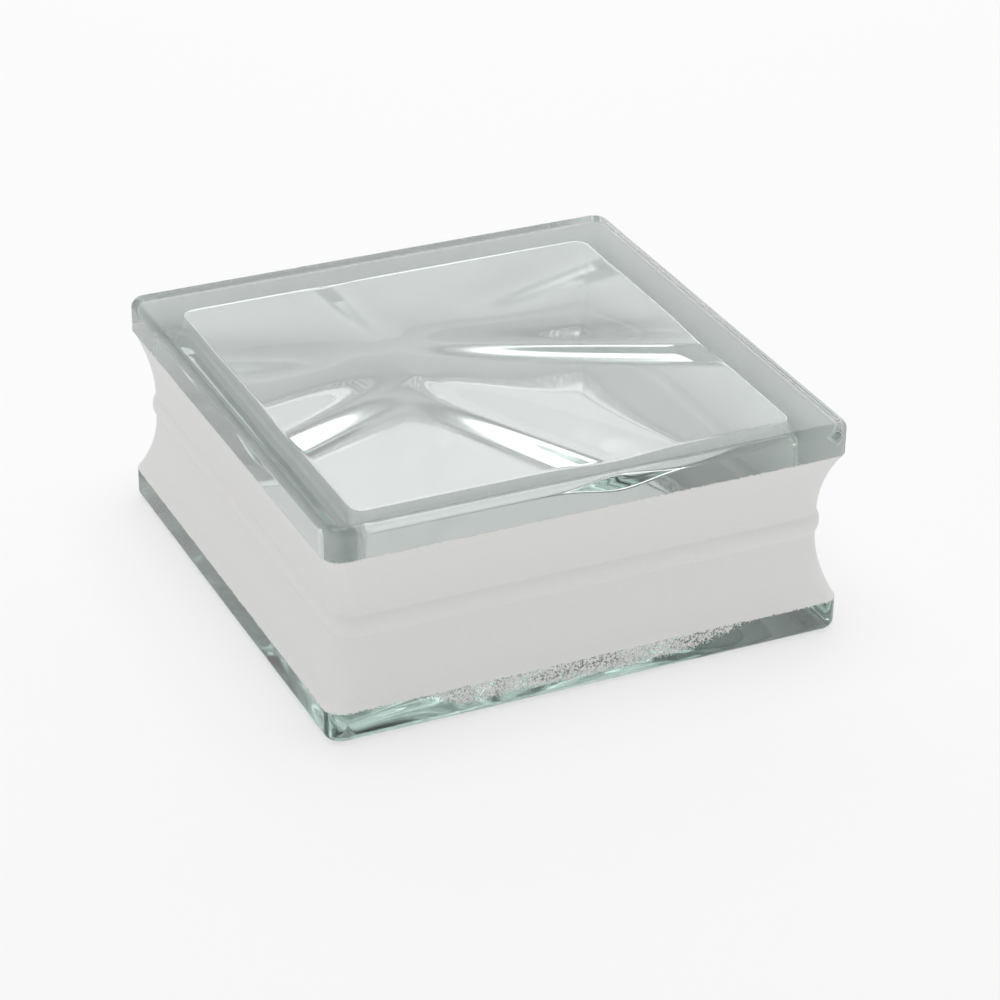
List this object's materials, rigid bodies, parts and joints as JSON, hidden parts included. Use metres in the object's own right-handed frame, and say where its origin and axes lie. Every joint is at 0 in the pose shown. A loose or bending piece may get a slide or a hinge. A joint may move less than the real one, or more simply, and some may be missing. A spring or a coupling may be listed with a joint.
{
  "type": "glass block",
  "caption": "Square hollow glass block with clear smooth faces, soft folds on its inner faces and coated hollow sides between thick rims, laid flat",
  "frame": {"origin": "middle of the lower face, where the block rests", "axes": "+Z runs through the block's thickness from the lower to the upper face, X and Y run square to the sides"},
  "size_m": [0.19, 0.19, 0.08],
  "materials": {
    "glass": "clear pressed glass with a faint green tint, smooth outside and softly folded inside",
    "edge_coat": "matt off-white sprayed coat with a fine grain"
  },
  "bodies": {
    "root": {"glass_block": "glass", "edge_coating": "edge_coat"}
  },
  "joints": []
}
